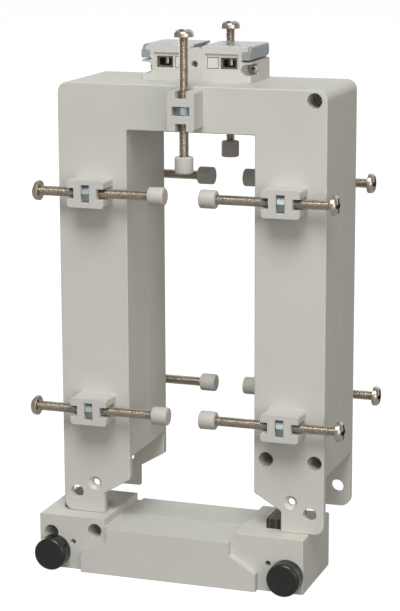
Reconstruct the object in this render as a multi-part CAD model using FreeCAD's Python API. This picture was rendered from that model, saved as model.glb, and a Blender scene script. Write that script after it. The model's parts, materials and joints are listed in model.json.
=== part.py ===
# Split-core current transformer for busbars, opened and standing on its loosened yoke. Millimetres.
# The origin is the centre of the yoke's underside. X runs across the window, Y to the rear, Z up.
import FreeCAD, Part
import math
import os

Vec = FreeCAD.Vector

# Upper body
window_height = 203.8
leg_width = 43.6
leg_relief = 1.7
beam_height = 27.4
body_depth = 66.0
wall = 2.5
body_corner_radius = 6.0
window_corner_radius = 1.5
edge_radius = 0.7
parting_chamfer = 0.25
body_offset_x = 10.5
body_offset_y = 16.0

# Plates below the legs that reach over the yoke
plate_thickness = 4.5
plate_overlap = 1.5
plate_shoulder = 12.4
plate_taper = 10.1
plate_step = 17.0
plate_corner_radius = 6.0
plate_slot_radius = 4.15
plate_slot_inset = 8.6
peg_hole_radius = 2.3
peg_sink_radius = 4.35
peg_inset = 20.6
peg_height = 17.4

# Laminated core
core_width = 18.0
core_stack = 24.0
core_setback = 17.0
core_bend_radius = 3.0
core_clearance = 0.2
pole_rise = 5.9

# Coils
bobbin_wall = 1.2
bobbin_flange = 1.5
winding_build = 3.8
winding_corner_radius = 3.5
flange_margin = 0.4
coil_top_gap = 4.0
sleeve_height = 15.5
sleeve_wall = 2.0
rib_thickness = 2.0
rib_offset = 24.0

# Housing screws, in deep wells
well_radius = 4.5
well_wall = 1.2
well_floor = 2.0
case_screw_radius = 1.75
case_screw_head_radius = 3.4
case_screw_head_height = 2.4
case_screw_grip = 12.0
boss_radius = 3.5
thread_clearance = 0.05
screw_passage = 0.2
top_well_inset = 7.7
top_well_drop = 6.2
low_well_inset = 6.0
low_well_window_inset = 7.4
low_well_height = 9.1

# Yoke
yoke_length = 170.0
yoke_margin = 1.4
yoke_depth = 57.0
yoke_height = 34.0
yoke_floor_height = 29.4
yoke_block_length = 43.0
yoke_edge_radius = 0.8
panel_clearance = 0.5
yoke_core_lift = 5.6
yoke_well_inset = 7.5
yoke_well_drop = 11.7
yoke_inner_well_inset = 6.7
yoke_inner_well_gap = 0.35
peg_socket_radius = 1.7
peg_socket_depth = 8.0

# Thumbscrews in the yoke
thumbscrew_height = 11.0
stud_radius = 2.95
stud_reach = 12.0
stud_grip = 7.0
insert_radius = 4.0
insert_length = 13.0
insert_wall = 1.8
knob_radius = 10.2
knob_waist_radius = 9.3
knob_flange = 2.2
knob_waist = 1.0
knob_body = 7.2
knob_edge_radius = 1.2

# Busbar clamps
clamp_axis_height = 10.0
clamp_shaft_radius = 2.95
clamp_head_radius = 6.0
clamp_head_height = 4.6
clamp_head_side = 1.6
clamp_head_crown = 0.9
clamp_head_shoulder = 1.4
clamp_head_flat = 2.0
clamp_passage = 0.35
recess_width = 1.3
recess_span = 6.4
recess_depth = 2.0
short_screw = 75.0
long_screw = 80.0
cap_radius = 5.5
cap_length = 10.0
cap_grip = 6.0
cap_edge_radius = 1.0
nut_width = 10.0
nut_thickness = 5.0
bracket_length = 23.4
bracket_height = 16.8
bracket_reach = 16.0
bracket_web = 14.6
bracket_notch = 6.6
bracket_corner_radius = 2.0
nut_clearance = 0.15
nut_slot_margin = 0.4
clamp_inset = 20.4
upper_clamp_depth = 37.0
lower_clamp_depth = 170.6
beam_clamp_height = 14.3

# Terminal unit on the beam
terminal_centre_x = -3.8
terminal_width = 68.2
terminal_front = -10.0
terminal_depth = 37.0
bridge_width = 7.0
bridge_height = 19.8
bridge_hole_radius = 2.0
bridge_hole_height = 10.5
bridge_hole_shift = 1.0
terminal_wall_height = 12.4
terminal_deck_height = 17.0
terminal_height = 21.4
hood_depth = 6.5
hood_corner_radius = 2.5
hood_lip_height = 16.8
hood_lip_depth = 1.0
mouth_width = 10.4
mouth_inset = 8.8
mouth_bottom = 7.9
mouth_top = 14.7
mouth_depth = 14.0
plug_width = 7.3
plug_spacing = 1.2
plug_inset = 1.2
plug_face_depth = 4.0
plug_play = 0.35
lid_gap = 0.3
lid_wall = 1.4
lid_slot = 1.2
lid_slot_depth = 4.0
lid_slot_length = 33.4
latch_width = 5.0
latch_height = 4.8
latch_wall = 0.9
latch_gap = 0.4
hinge_radius = 1.0
hinge_barrel_radius = 2.1
hinge_inset = 3.0
hinge_height = 17.5
hinge_play = 0.05
lug_width = 4.0
cage_length = 8.0
cage_setback = 2.5
cage_wall = 1.0
cage_bend_radius = 1.2
cage_play = 0.2
terminal_screw_radius = 1.5
terminal_head_radius = 2.4
terminal_head_height = 1.6
terminal_slot_width = 0.7
fix_screw_radius = 1.5
fix_head_radius = 3.0
fix_head_height = 2.4
fix_screw_length = 12.0
fix_height = 7.6
fix_setback = 15.0
fix_inset = 2.8
fix_pocket_margin = 0.5

# Worked-out values
window_width = yoke_length - 2 * (leg_width + yoke_margin)
half_window = window_width / 2
half_width = half_window + leg_width
front = -body_depth / 2
core_inner = half_window + core_setback
core_outer = core_inner + core_width
core_half = core_stack / 2
core_bottom = (beam_height - core_width) / 2
plate_bottom = -window_height - yoke_height - plate_overlap
body_place = Vec(body_offset_x, body_offset_y, yoke_height - plate_bottom)
well_end = -(core_half + core_clearance)
yoke_half = yoke_length / 2
yoke_front = -yoke_depth / 2
yoke_core_top = yoke_height + pole_rise
peg_x = half_width - peg_inset
thumbscrew_x = half_width - plate_slot_inset
clamp_y = front - clamp_axis_height
clamp_offset_x = half_window + clamp_inset
nut_corner = nut_width / 2 / math.cos(math.radians(30))


# Helpers

def box(x0, x1, y0, y1, z0, z1):
    return Part.makeBox(x1 - x0, y1 - y0, z1 - z0, Vec(x0, y0, z0))


def rod(start, direction, radius, length):
    return Part.makeCylinder(radius, length, Vec(*start), Vec(*direction))


def slab(corners, plane, start, end):
    # Corners are (a, b) or (a, b, radius) in the plane, run from start to end square to it
    place = {
        "xz": lambda a, b: Vec(a, start, b),
        "yz": lambda a, b: Vec(start, a, b),
        "xy": lambda a, b: Vec(a, b, start),
    }[plane]
    along = {"xz": Vec(0, 1, 0), "yz": Vec(1, 0, 0), "xy": Vec(0, 0, 1)}[plane] * (end - start)
    points = [place(corner[0], corner[1]) for corner in corners]
    edges = []
    ends = []
    for i, corner in enumerate(corners):
        point = points[i]
        radius = corner[2] if len(corner) > 2 else 0
        if radius == 0:
            ends.append((point, point))
            continue
        back = (points[i - 1] - point).normalize()
        ahead = (points[(i + 1) % len(points)] - point).normalize()
        half = back.getAngle(ahead) / 2
        middle = (back + ahead).normalize()
        run = radius / math.tan(half)
        reach = radius / math.sin(half) - radius
        first, last = point + back * run, point + ahead * run
        edges.append(Part.Arc(first, point + middle * reach, last).toShape())
        ends.append((first, last))
    for i, (_, last) in enumerate(ends):
        following = ends[(i + 1) % len(ends)][0]
        if last.distanceToPoint(following) > 1e-6:
            edges.append(Part.makeLine(last, following))
    wire = Part.Wire(Part.__sortEdges__(edges))
    return Part.Face(wire).extrude(along)


def ring(radii):
    # A turned piece from (distance, radius) pairs along +Y
    points = [Vec(0, radii[0][0], 0)] + [Vec(r, y, 0) for y, r in radii] + [Vec(0, radii[-1][0], 0)]
    wire = Part.makePolygon(points + [points[0]])
    return Part.Face(wire).revolve(Vec(0, 0, 0), Vec(0, 1, 0), 360)


def moved(shape, x=0, y=0, z=0):
    copy = shape.copy()
    copy.translate(Vec(x, y, z))
    return copy


def turned(shape, axis=(0, 0, 1), angle=180):
    copy = shape.copy()
    copy.rotate(Vec(0, 0, 0), Vec(*axis), angle)
    return copy


def mirrored(shape, x=0):
    return shape.mirror(Vec(x, 0, 0), Vec(1, 0, 0))


def save(name, shape):
    shape.exportStep(f"parts/{name}.step")
    print(f"{name}: {len(shape.Solids)} solid, {shape.Volume / 1000:.2f} cm3, valid {shape.isValid()}")


def both_sides(shape):
    return [shape, mirrored(shape)]


# Upper body

def body_outline(inset, leg_end):
    outer = half_width - inset
    inner = half_window + inset
    top = beam_height - inset
    return [
        (-outer, leg_end), (-outer, top, body_corner_radius - inset),
        (outer, top, body_corner_radius - inset), (outer, leg_end),
        (inner, leg_end), (inner, inset, window_corner_radius),
        (-inner, inset, window_corner_radius), (-inner, leg_end),
    ]


def side_plate():
    inner = half_window + plate_step
    taper_top = -window_height - plate_shoulder
    return slab([
        (half_window, -window_height), (half_window, taper_top, window_corner_radius),
        (inner, taper_top - plate_taper, window_corner_radius), (inner, plate_bottom),
        (half_width, plate_bottom, plate_corner_radius), (half_width, -window_height),
    ], "xz", front, front + plate_thickness)


def plate_holes():
    slot = rod((thumbscrew_x, front - 1, plate_bottom + plate_overlap + thumbscrew_height), (0, 1, 0),
               plate_slot_radius, plate_thickness + 2)
    peg_z = plate_bottom + plate_overlap + peg_height
    peg = rod((peg_x, front - 1, peg_z), (0, 1, 0), peg_hole_radius, plate_thickness + 2)
    sink_depth = peg_sink_radius - peg_hole_radius
    sink = Part.makeCone(peg_sink_radius, peg_hole_radius, sink_depth,
                         Vec(peg_x, front, peg_z), Vec(0, 1, 0))
    return slot.fuse([peg, sink])


def core_upper(clearance=0.0, leg_end=None):
    end = -window_height + pole_rise if leg_end is None else leg_end
    outer = core_outer + clearance
    inner = core_inner - clearance
    top = core_bottom + core_width + clearance
    bottom = core_bottom - clearance
    outer_radius = core_bend_radius + core_width + clearance
    return slab([
        (-outer, end), (-outer, top, outer_radius), (outer, top, outer_radius), (outer, end),
        (inner, end), (inner, bottom, core_bend_radius), (-inner, bottom, core_bend_radius), (-inner, end),
    ], "xz", -core_half - clearance, core_half + clearance)


well_places = [
    (half_width - top_well_inset, beam_height - top_well_drop),
    (half_window + low_well_window_inset, -window_height + low_well_height),
    (half_width - low_well_inset, -window_height + low_well_height),
]


def well_tube(x, z, face):
    return rod((x, face, z), (0, 1, 0), well_radius + well_wall, well_end - face)


def well_bore(x, z, face):
    bore = rod((x, face - 1, z), (0, 1, 0), well_radius, well_end - well_floor - face + 1)
    hole = rod((x, face, z), (0, 1, 0), case_screw_radius + screw_passage, well_end - face + 1)
    return bore.fuse(hole)


def screw_boss(x, z, inside):
    return rod((x, inside, z), (0, 1, 0), boss_radius, well_end - inside)


def boss_bore(x, z):
    start = well_end - case_screw_grip
    return rod((x, start, z), (0, 1, 0), case_screw_radius + thread_clearance, case_screw_grip + 1)


def leg_wedge():
    # Between the plates each leg's end rises towards the window
    low = -window_height - 1
    return slab([
        (half_window - 1, low), (half_window - 1, -window_height + leg_relief),
        (half_window, -window_height + leg_relief), (half_width, -window_height), (half_width, low),
    ], "xz", front + plate_thickness, 1)


def edges_at(shape, y):
    return [edge for edge in shape.Edges
            if abs(edge.BoundBox.YMin - y) < 0.01 and abs(edge.BoundBox.YMax - y) < 0.01]


def body_shell():
    outer = slab(body_outline(0, -window_height), "xz", front, 0)
    shell = outer.fuse(both_sides(side_plate())).cut(both_sides(leg_wedge())).removeSplitter()
    shell = shell.makeFillet(edge_radius, edges_at(shell, front))
    shell = shell.makeChamfer(parting_chamfer, edges_at(shell, 0))
    floor = -window_height + leg_relief + wall
    cavity = slab(body_outline(wall, floor), "xz", front + wall, 0)
    shell = shell.cut(cavity)
    rib = box(rib_offset - rib_thickness / 2, rib_offset + rib_thickness / 2,
              front + wall, 0, wall, beam_height - wall)
    reach = core_clearance + sleeve_wall
    sleeve = box(core_inner - reach, core_outer + core_clearance, -core_half - reach, 0,
                 -window_height + leg_relief, -window_height + sleeve_height)
    tubes = [well_tube(x, z, front).common(outer) for x, z in well_places]
    bosses = [screw_boss(-x, z, front + wall) for x, z in well_places]
    shell = shell.fuse(both_sides(rib) + both_sides(sleeve) + tubes + bosses)
    shell = shell.cut(core_upper(core_clearance, -window_height - 1))
    shell = shell.cut([well_bore(x, z, front) for x, z in well_places])
    shell = shell.cut([boss_bore(-x, z) for x, z in well_places])
    holes = plate_holes()
    return shell.cut(both_sides(holes)).removeSplitter()


def pan_head(radius, height):
    # Crowned towards -Y, with its flat seat at Y = height
    return ring([(0, 0.65 * radius), (height / 2, radius), (height, radius)])


def case_screw(x, z):
    seat = well_end - well_floor
    head = pan_head(case_screw_head_radius, case_screw_head_height)
    shaft = rod((0, case_screw_head_height, 0), (0, 1, 0), case_screw_radius,
                well_floor - 2 * well_end + case_screw_grip - 1)
    return moved(head.fuse(shaft), x, seat - case_screw_head_height, z)


# Coils

def limb_block(margin, z0, z1, radius=0.0):
    corners = [
        (core_inner - margin, -core_half - margin, radius), (core_outer + margin, -core_half - margin, radius),
        (core_outer + margin, core_half + margin, radius), (core_inner - margin, core_half + margin, radius),
    ]
    return slab(corners, "xy", z0, z1)


coil_bottom = -window_height + sleeve_height
coil_top = -coil_top_gap
tube_margin = core_clearance + bobbin_wall
winding_margin = tube_margin + winding_build
flange_reach = winding_margin + flange_margin


def bobbin():
    tube = limb_block(tube_margin, coil_bottom, coil_top)
    flanges = [limb_block(flange_reach, z, z + bobbin_flange, bobbin_flange)
               for z in (coil_bottom, coil_top - bobbin_flange)]
    core_space = limb_block(core_clearance, coil_bottom - 1, coil_top + 1)
    return tube.fuse(flanges).cut(core_space).removeSplitter()


def winding():
    z0, z1 = coil_bottom + bobbin_flange, coil_top - bobbin_flange
    return limb_block(winding_margin, z0, z1, winding_corner_radius).cut(limb_block(tube_margin, z0, z1))


# Yoke

def yoke_outline(inset, floor_inset):
    outer = yoke_half - inset
    top = yoke_height - inset
    low = yoke_floor_height - inset
    step = yoke_half - yoke_block_length + floor_inset
    return [
        (-outer, inset), (-outer, top, yoke_edge_radius), (-step, top), (-step, low),
        (step, low), (step, top), (outer, top, yoke_edge_radius), (outer, inset),
    ]


def panel_outline(inset):
    top_x = half_window - panel_clearance - inset
    low_x = half_window + plate_step - panel_clearance - inset
    shoulder = yoke_height - plate_shoulder - panel_clearance - inset
    low = shoulder - plate_taper
    return [
        (-low_x, inset), (-low_x, low), (-top_x, shoulder), (-top_x, yoke_floor_height - inset),
        (top_x, yoke_floor_height - inset), (top_x, shoulder), (low_x, low), (low_x, inset),
    ]


def yoke_core(clearance=0.0):
    outer = core_outer + clearance
    inner = core_inner - clearance
    low = yoke_core_lift - clearance
    bar_top = yoke_core_lift + core_width + clearance
    top = yoke_core_top + clearance
    outer_radius = core_bend_radius + core_width + clearance
    return slab([
        (-outer, top), (-outer, low, outer_radius), (outer, low, outer_radius), (outer, top),
        (inner, top), (inner, bar_top, core_bend_radius), (-inner, bar_top, core_bend_radius), (-inner, top),
    ], "xz", -core_half - clearance, core_half + clearance)


yoke_wells = [
    (-(yoke_half - yoke_well_inset), yoke_height - yoke_well_drop),
    (-(yoke_half - yoke_block_length + yoke_inner_well_inset),
     yoke_core_lift + core_width + core_clearance + yoke_inner_well_gap + case_screw_radius),
]


def yoke_shell():
    outer = slab(yoke_outline(0, 0), "xz", yoke_front, 0)
    seam = [edge for edge in edges_at(outer, 0) if edge.BoundBox.ZMax > yoke_edge_radius]
    outer = outer.makeChamfer(parting_chamfer, seam)
    panel = slab(panel_outline(0), "xz", yoke_front - plate_thickness, yoke_front)
    cavity = slab(yoke_outline(wall, wall), "xz", yoke_front + wall, 0)
    hollow = slab(panel_outline(wall), "xz", yoke_front - plate_thickness + wall, yoke_front + wall)
    shell = outer.fuse(panel).cut([cavity, hollow])
    rib = box(rib_offset - rib_thickness / 2, rib_offset + rib_thickness / 2,
              yoke_front + wall, 0, wall, yoke_floor_height - wall)
    cheek = box(core_outer + core_clearance, yoke_half - wall, -rib_thickness, 0,
                yoke_height - wall - rib_thickness, yoke_height - wall)
    insert_boss = rod((thumbscrew_x, yoke_front + wall, thumbscrew_height), (0, 1, 0),
                      insert_radius + insert_wall, insert_length - wall)
    socket_boss = rod((peg_x, yoke_front + wall, peg_height), (0, 1, 0),
                      peg_socket_radius + insert_wall, peg_socket_depth)
    tubes = [well_tube(x, z, yoke_front).common(outer) for x, z in yoke_wells]
    bosses = [screw_boss(-x, z, yoke_front + wall) for x, z in yoke_wells]
    shell = shell.fuse(both_sides(rib) + both_sides(cheek) + both_sides(insert_boss)
                       + both_sides(socket_boss) + tubes + bosses)
    shell = shell.cut(yoke_core(core_clearance))
    shell = shell.cut([well_bore(x, z, yoke_front) for x, z in yoke_wells])
    shell = shell.cut([boss_bore(-x, z) for x, z in yoke_wells])
    insert_hole = rod((thumbscrew_x, yoke_front - 1, thumbscrew_height), (0, 1, 0),
                      insert_radius, insert_length + 1)
    socket = rod((peg_x, yoke_front - 1, peg_height), (0, 1, 0), peg_socket_radius, peg_socket_depth + 1)
    return shell.cut(both_sides(insert_hole) + both_sides(socket)).removeSplitter()


# Thumbscrews

def thread_insert():
    body = rod((thumbscrew_x, yoke_front, thumbscrew_height), (0, 1, 0), insert_radius, insert_length)
    bore = rod((thumbscrew_x, yoke_front - 1, thumbscrew_height), (0, 1, 0),
               stud_radius + thread_clearance, insert_length + 2)
    return body.cut(bore)


def knob():
    flange_end = -knob_flange
    waist_end = flange_end - knob_waist
    face = waist_end - knob_body
    solid = ring([(0, knob_radius), (flange_end, knob_radius), (flange_end, knob_waist_radius),
                  (waist_end, knob_waist_radius), (waist_end, knob_radius), (face, knob_radius)])
    rim = [edge for edge in solid.Edges if abs(edge.BoundBox.YMin - face) < 0.01
           and abs(edge.BoundBox.YMax - face) < 0.01]
    solid = solid.makeFillet(knob_edge_radius, rim)
    pocket = rod((0, 0, 0), (0, -1, 0), stud_radius, stud_grip)
    return moved(solid.cut(pocket), thumbscrew_x, yoke_front, thumbscrew_height)


def stud():
    shape = rod((0, -stud_grip, 0), (0, 1, 0), stud_radius, stud_grip + stud_reach)
    return moved(shape, thumbscrew_x, yoke_front, thumbscrew_height)


# Busbar clamps, built at the origin with the screw along +X towards its cap and the housing at Y = 0

def bracket():
    half_length, half_height = bracket_length / 2, bracket_height / 2
    shape = slab([
        (-half_length, -half_height, bracket_corner_radius), (half_length, -half_height, bracket_corner_radius),
        (half_length, half_height, bracket_corner_radius), (-half_length, half_height, bracket_corner_radius),
    ], "xz", -bracket_reach, 0)
    notch = box(bracket_web / 2, half_length + 1, -bracket_reach - 1, -wall, -bracket_notch / 2, bracket_notch / 2)
    slot_half = nut_thickness / 2 + nut_clearance
    slot_rise = nut_width / 2 + nut_slot_margin
    slot = box(-slot_half, slot_half, -bracket_reach - 1, -clamp_axis_height + nut_corner + nut_clearance,
               -slot_rise, slot_rise)
    passage = rod((-half_length, -clamp_axis_height, 0), (1, 0, 0),
                  clamp_shaft_radius + clamp_passage, bracket_length)
    return shape.cut(both_sides(notch) + [slot, passage])


def hex_nut():
    # Two flats face the slot's ends, and a corner faces outwards
    corners = [(-clamp_axis_height + nut_corner * math.cos(math.radians(turn)),
                nut_corner * math.sin(math.radians(turn))) for turn in range(0, 360, 60)]
    shape = slab(corners, "yz", -nut_thickness / 2, nut_thickness / 2)
    hole = rod((-nut_thickness, -clamp_axis_height, 0), (1, 0, 0),
               clamp_shaft_radius + thread_clearance, 2 * nut_thickness)
    return shape.cut(hole)


def clamp_screw(length):
    # The underside of the head is at X = 0 and the tip at X = length
    seat, side = Vec(0, clamp_head_radius, 0), Vec(-clamp_head_side, clamp_head_radius, 0)
    shoulder = Vec(-clamp_head_height + clamp_head_crown, clamp_head_radius - clamp_head_shoulder, 0)
    flat, top = Vec(-clamp_head_height, clamp_head_flat, 0), Vec(-clamp_head_height, 0, 0)
    edges = [Part.makeLine(Vec(0, 0, 0), seat), Part.makeLine(seat, side),
             Part.Arc(side, shoulder, flat).toShape(),
             Part.makeLine(flat, top), Part.makeLine(top, Vec(0, 0, 0))]
    head = Part.Face(Part.Wire(edges)).revolve(Vec(0, 0, 0), Vec(1, 0, 0), 360)
    shaft = rod((0, 0, 0), (1, 0, 0), clamp_shaft_radius, length)
    arm = box(-clamp_head_height - 1, -clamp_head_height + recess_depth,
              -recess_span / 2, recess_span / 2, -recess_width / 2, recess_width / 2)
    return head.fuse(shaft).cut([arm, turned(arm, (1, 0, 0), 90)])


def cap(length):
    start = length - cap_grip
    shape = rod((start, 0, 0), (1, 0, 0), cap_radius, cap_length)
    rims = [edge for edge in shape.Edges if edge.BoundBox.XMax - edge.BoundBox.XMin < 0.01]
    shape = shape.makeFillet(cap_edge_radius, rims)
    return shape.cut(rod((start - 1, 0, 0), (1, 0, 0), clamp_shaft_radius, cap_grip + 1))


# name, rear side, along -Z, place of the bracket across and up, screw length, cap's distance from the middle
clamps = [
    ("front_upper_left", False, False, -clamp_offset_x, -upper_clamp_depth, short_screw, 11.9),
    ("front_upper_right", False, False, clamp_offset_x, -upper_clamp_depth, short_screw, 10.1),
    ("front_lower_left", False, False, -clamp_offset_x, -lower_clamp_depth, long_screw, 10.6),
    ("front_lower_right", False, False, clamp_offset_x, -lower_clamp_depth, long_screw, 9.6),
    ("front_beam", False, True, 0.0, beam_clamp_height, short_screw, 22.6),
    ("rear_upper_left", True, False, -clamp_offset_x, -upper_clamp_depth, short_screw, 10.6),
    ("rear_upper_right", True, False, clamp_offset_x, -upper_clamp_depth, short_screw, 9.4),
    ("rear_lower_left", True, False, -clamp_offset_x, -lower_clamp_depth, long_screw, 9.3),
    ("rear_lower_right", True, False, clamp_offset_x, -lower_clamp_depth, long_screw, 9.5),
    ("rear_beam", True, True, 0.0, beam_clamp_height, short_screw, 24.35),
]


def clamp_pieces(rear, upright, x, z, length, stop):
    # The screw's head lies outwards, and its cap's end face is the stop's distance from the window's middle
    reach = length - cap_grip + cap_length
    screw, end = clamp_screw(length), cap(length)
    holder, nut = bracket(), hex_nut()
    if upright:
        screw, end = (turned(piece, (0, 1, 0), 90) for piece in (screw, end))
        holder, nut = (turned(piece, (0, 1, 0), 90) for piece in (holder, nut))
        offset = (x, 0, reach - stop)
    elif x > 0:
        screw, end = (turned(piece) for piece in (screw, end))
        offset = (reach + stop, 0, z)
    else:
        offset = (-reach - stop, 0, z)
    face, axis = front, clamp_y
    if rear:
        face, axis = -front, -clamp_y
        holder, nut = turned(holder), turned(nut)
    screw, end = (moved(piece, offset[0], axis, offset[2]) for piece in (screw, end))
    holder, nut = (moved(piece, x, face, z) for piece in (holder, nut))
    return holder, nut, screw, end


# Terminal unit, built as the right-hand block with its inner side at X = 0 and its base at Z = 0

block_width = (terminal_width - bridge_width) / 2
terminal_back = terminal_front + terminal_depth
hood_back = terminal_front + hood_depth
hinge_y = terminal_back - hinge_inset
cover_x = block_width - lid_wall
mouth_right = block_width - mouth_inset
mouth_left = mouth_right - mouth_width
mouth_middle = (mouth_left + mouth_right) / 2
plug_right = mouth_left - plug_spacing
plug_left = plug_right - plug_width
cage_y = terminal_front + cage_setback + cage_length / 2
fix_x = block_width - fix_inset
fix_y = terminal_front + fix_setback


def hinge_lug(x):
    foot = box(x, x + lug_width, hinge_y - hinge_barrel_radius, hinge_y + hinge_barrel_radius,
               terminal_wall_height - 1, hinge_height)
    return foot.fuse(rod((x, hinge_y, hinge_height), (1, 0, 0), hinge_barrel_radius, lug_width))


def terminal_block():
    inner_width = cover_x - lid_gap
    base = box(0, block_width, terminal_front, terminal_back, 0, terminal_wall_height)
    hood = slab([(0, terminal_wall_height), (0, terminal_height, edge_radius),
                 (inner_width, terminal_height, hood_corner_radius), (inner_width, terminal_wall_height)],
                "xz", terminal_front, hood_back)
    deck = box(0, inner_width, hood_back, hinge_y - hinge_barrel_radius - hinge_inset,
               terminal_wall_height, terminal_deck_height)
    shape = base.fuse([hood, deck, hinge_lug(0), hinge_lug(inner_width - lug_width)])
    groove = box(inner_width - lid_slot_depth, inner_width + 1, terminal_front - 1,
                 terminal_front + lid_slot_length, terminal_wall_height, terminal_wall_height + lid_slot)
    recess = box(plug_left - hood_lip_depth, mouth_right + hood_lip_depth, terminal_front - 1,
                 terminal_front + hood_lip_depth, mouth_bottom, hood_lip_height)
    mouth = box(mouth_left, mouth_right, terminal_front, terminal_front + mouth_depth, mouth_bottom, mouth_top)
    plug_space = box(plug_left, plug_right, terminal_front, terminal_front + mouth_depth,
                     mouth_bottom, mouth_top)
    driver_well = rod((mouth_middle, cage_y, mouth_top - 1), (0, 0, 1),
                      terminal_head_radius + cage_play, terminal_height)
    pocket_radius = fix_head_radius + fix_pocket_margin
    pocket = rod((fix_x, terminal_front - 1, fix_height), (0, 1, 0), pocket_radius, fix_setback + 1)
    side = box(fix_x, block_width + 1, terminal_front - 1, fix_y, fix_height - pocket_radius,
               fix_height + pocket_radius)
    screw_hole = rod((fix_x, fix_y - 1, fix_height), (0, 1, 0),
                     fix_screw_radius + thread_clearance, fix_screw_length + 1)
    hinge_hole = rod((-1, hinge_y, hinge_height), (1, 0, 0), hinge_radius + hinge_play, block_width + 2)
    return shape.cut([groove, recess, mouth, plug_space, driver_well, pocket, side, screw_hole, hinge_hole])


def terminal_lid():
    # The clear lid turns on pins behind the hood, with a skirt on the block's outer side and a latch in front
    start = hood_back + lid_gap
    roof_end = terminal_back - lid_gap
    skirt_bottom = terminal_wall_height + lid_slot
    roof_bottom = terminal_height - lid_wall
    roof = box(lid_gap, cover_x, start, roof_end, roof_bottom, terminal_height)
    brow = box(lid_gap, cover_x, start, start + lid_wall, terminal_deck_height + lid_gap, roof_bottom)
    skirt = slab([
        (terminal_front, skirt_bottom), (terminal_front, terminal_height, hood_corner_radius),
        (roof_end, terminal_height, hood_corner_radius), (roof_end, skirt_bottom, hood_corner_radius),
    ], "yz", cover_x, block_width)
    latch_top = skirt_bottom + latch_height
    latch_front = terminal_front - latch_gap - latch_wall
    hook = box(cover_x, block_width, latch_front, terminal_front, skirt_bottom, latch_top)
    latch = slab([
        (block_width - latch_width, skirt_bottom, edge_radius), (block_width, skirt_bottom),
        (block_width, latch_top), (block_width - latch_width, latch_top, edge_radius),
    ], "xz", latch_front, latch_front + latch_wall)
    left = lug_width + lid_gap
    right = cover_x - left - lid_gap
    barrel = rod((left, hinge_y, hinge_height), (1, 0, 0), hinge_barrel_radius, right - left)
    pins = rod((lid_gap, hinge_y, hinge_height), (1, 0, 0), hinge_radius, cover_x - lid_gap)
    web = box(left, right, hinge_y - hinge_radius, hinge_y + hinge_radius, hinge_height, roof_bottom)
    shape = roof.fuse([brow, skirt, hook, latch, barrel, pins, web]).removeSplitter()
    rim = [edge for edge in shape.Edges if edge.BoundBox.ZMin > terminal_height - 0.01
           and edge.BoundBox.XMin > block_width - 0.01 and edge.Length > hood_depth]
    return shape.makeFillet(edge_radius, rim)


def rounded_bar(x0, x1, z0, z1, radius, y0, y1):
    return slab([(x0, z0, radius), (x1, z0, radius), (x1, z1, radius), (x0, z1, radius)], "xz", y0, y1)


def cage_clamp():
    # A steel cage held in the block's mouth, tapped on top for its screw
    left, right = mouth_left + cage_play, mouth_right - cage_play
    cage = rounded_bar(left, right, mouth_bottom, mouth_top, cage_bend_radius + cage_wall,
                       cage_y - cage_length / 2, cage_y + cage_length / 2)
    hollow = rounded_bar(left + cage_wall, right - cage_wall, mouth_bottom + cage_wall, mouth_top - cage_wall,
                         cage_bend_radius, cage_y - cage_length, cage_y + cage_length)
    hole = rod((mouth_middle, cage_y, mouth_top - 2 * cage_wall), (0, 0, 1),
               terminal_screw_radius + thread_clearance, 3 * cage_wall)
    return cage.cut([hollow, hole])


def terminal_screw():
    head = rod((mouth_middle, cage_y, mouth_top), (0, 0, 1), terminal_head_radius, terminal_head_height)
    shaft_bottom = mouth_bottom + 2 * cage_wall
    shaft = rod((mouth_middle, cage_y, shaft_bottom), (0, 0, 1), terminal_screw_radius,
                mouth_top - shaft_bottom)
    slot = box(mouth_left, mouth_right, cage_y - terminal_slot_width / 2, cage_y + terminal_slot_width / 2,
               mouth_top + terminal_head_height / 2, mouth_top + 2 * terminal_head_height)
    return head.fuse(shaft).cut(slot)


def blanking_plug():
    # Its tail fills the mouth, and its face stands free all round
    face_end = terminal_front + plug_inset + plug_face_depth
    tail = box(plug_left, plug_right, face_end, terminal_front + mouth_depth, mouth_bottom, mouth_top)
    face = rounded_bar(plug_left + plug_play, plug_right - plug_play, mouth_bottom + plug_play,
                       mouth_top - plug_play, plug_play, terminal_front + plug_inset, face_end)
    return tail.fuse(face)


def fixing_screw():
    head = pan_head(fix_head_radius, fix_head_height)
    shaft = rod((0, fix_head_height, 0), (0, 1, 0), fix_screw_radius, fix_screw_length)
    return moved(head.fuse(shaft), fix_x, fix_y - fix_head_height, fix_height)


def bridge():
    half = bridge_width / 2
    shape = slab([(-half, 0), (-half, bridge_height, edge_radius), (half, bridge_height, edge_radius), (half, 0)],
                 "xz", terminal_front, hood_back)
    tail = box(-half, half, hood_back, terminal_back, 0, terminal_wall_height)
    hole = rod((-bridge_hole_shift, terminal_front - 1, bridge_hole_height), (0, 1, 0),
               bridge_hole_radius, hood_depth + 1)
    return shape.fuse(tail).cut(hole).removeSplitter()


# Building and saving

os.makedirs("parts", exist_ok=True)


def place_body(shape):
    return moved(shape, body_place.x, body_place.y, body_place.z)


front_shell = body_shell()
save("front_housing", place_body(front_shell))
save("rear_housing", place_body(turned(front_shell)))
front_screws = [case_screw(x, z) for x, z in well_places]
all_screws = front_screws + [turned(screw) for screw in front_screws]
save("housing_screws", place_body(Part.makeCompound(all_screws)))
save("upper_core", place_body(core_upper()))
for side, pick in (("left", mirrored), ("right", moved)):
    save(f"{side}_bobbin", place_body(pick(bobbin())))
    save(f"{side}_winding", place_body(pick(winding())))

yoke = yoke_shell()
save("yoke_front_shell", yoke)
save("yoke_rear_shell", turned(yoke))
yoke_screws = [case_screw(x, z) for x, z in yoke_wells]
save("yoke_screws", Part.makeCompound(yoke_screws + [turned(screw) for screw in yoke_screws]))
save("yoke_core", yoke_core())
save("thread_inserts", Part.makeCompound(both_sides(thread_insert())))
for side, pick in (("left", mirrored), ("right", moved)):
    save(f"{side}_knob", pick(knob()))
    save(f"{side}_stud", pick(stud()))

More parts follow.
